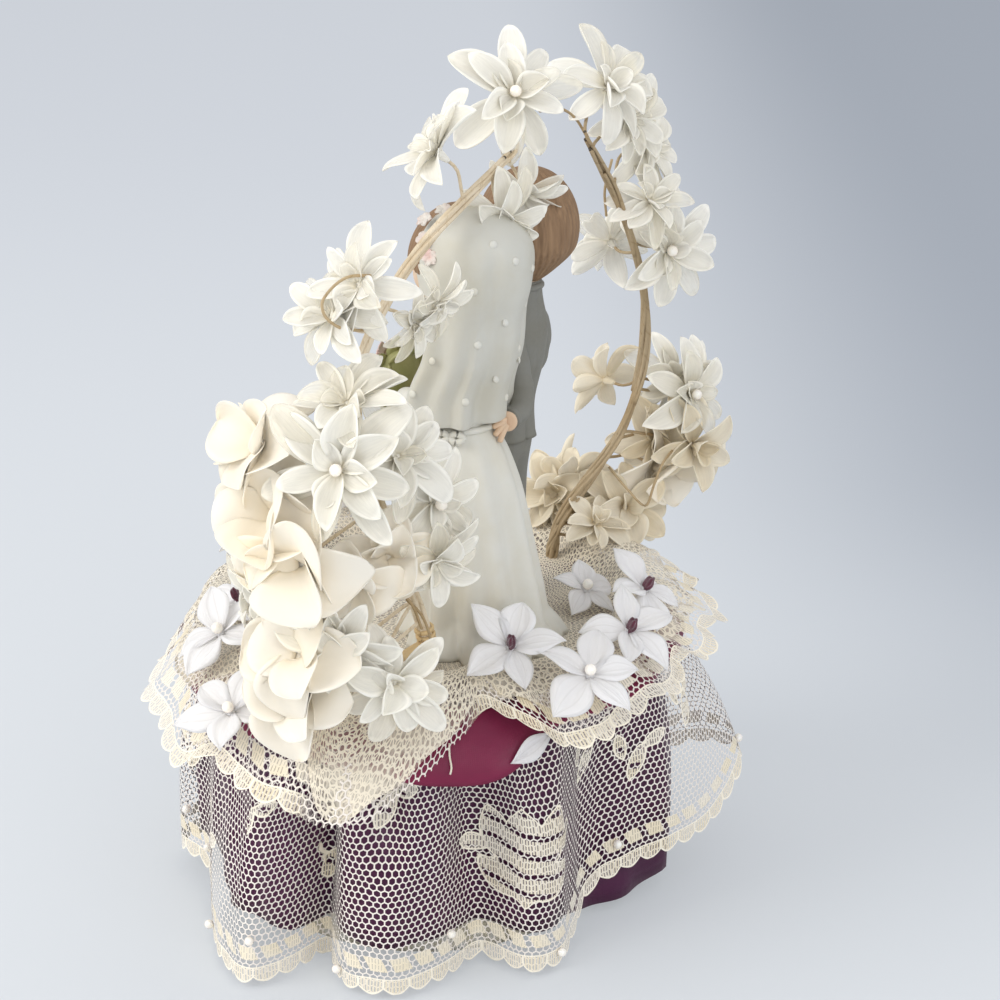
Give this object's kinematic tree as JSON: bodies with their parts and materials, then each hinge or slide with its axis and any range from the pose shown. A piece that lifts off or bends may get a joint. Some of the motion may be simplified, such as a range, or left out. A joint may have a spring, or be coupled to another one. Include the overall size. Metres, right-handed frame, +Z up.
{
  "type": "wedding cake topper",
  "caption": "Wedding cake topper: a bisque bride and groom under a wired arch of cloth flowers, on a round pedestal dressed with lace and satin skirts.",
  "frame": {"origin": "centre of the foam core's underside, on the surface that the topper stands on", "axes": "+Z up; the couple faces -Y; the bride stands on the +X side"},
  "size_m": [0.1846, 0.1498, 0.2199],
  "materials": {
    "foam": "white foam with a fine cell",
    "plum_satin": "plum satin",
    "wine_satin": "wine red satin",
    "lace": "cream net lace",
    "bisque": "unglazed white bisque",
    "skin": "skin-tinted bisque",
    "hair": "brown-painted bisque",
    "suit": "grey-painted bisque",
    "shoe": "dark-painted bisque",
    "leaf": "green and pink painted bisque",
    "organza": "sheer white organza",
    "cream_cloth": "cream voile",
    "white_cloth": "stiffened white cloth",
    "wine_felt": "wine red paper centre",
    "pearl": "pearl lacquer",
    "taped_wire": "wire wrapped in cream paper tape"
  },
  "bodies": {
    "root": {"foam_core": "foam", "deck_board": "plum_satin", "underskirt_satin": "plum_satin", "satin_ruffle": "wine_satin", "lower_lace_skirt": "lace", "upper_lace_ruffle": "lace", "bride_gown": "bisque", "bride_veil": "bisque", "bride_left_arm": "bisque", "bride_right_arm": "bisque", "bride_head": "skin", "groom_head": "skin", "bride_hair": "hair", "groom_hair": "hair", "groom_jacket": "suit", "groom_trousers": "suit", "groom_left_arm": "suit", "groom_right_arm": "suit", "groom_left_shoe": "shoe", "groom_right_shoe": "shoe", "bride_bouquet": "leaf", "top_star_flower": "organza", "top_right_flower": "organza", "right_shoulder_flower": "organza", "right_upper_flower": "organza", "right_upper_back_flower": "organza", "right_mid_flower": "organza", "right_mid_inner_flower": "organza", "right_foot_flower": "organza", "right_foot_low_flower": "organza", "left_shoulder_flower": "organza", "left_hang_flower": "organza", "left_inner_flower": "organza", "top_drop_flower": "organza", "left_star_flower": "organza", "left_star_low_flower": "organza", "left_sheer_flower": "organza", "low_star_flower": "organza", "right_low_flower": "cream_cloth", "left_cream_flower": "cream_cloth", "left_cream_low_flower": "cream_cloth", "low_pearl_flower": "cream_cloth", "deck_flower_1": "white_cloth", "deck_flower_2": "white_cloth", "deck_flower_3": "white_cloth", "deck_flower_4": "white_cloth", "deck_flower_5": "white_cloth", "deck_flower_6": "white_cloth", "deck_flower_7": "white_cloth", "deck_flower_8": "white_cloth", "deck_flower_9": "white_cloth", "deck_flower_10": "white_cloth", "deck_flower_11": "white_cloth", "deck_flower_1_centre": "wine_felt", "deck_flower_3_centre": "wine_felt", "top_star_flower_pearl": "pearl", "right_mid_flower_pearl": "pearl", "left_star_flower_pearl": "pearl", "near_wire": "taped_wire", "far_wire": "taped_wire"}
  },
  "joints": []
}
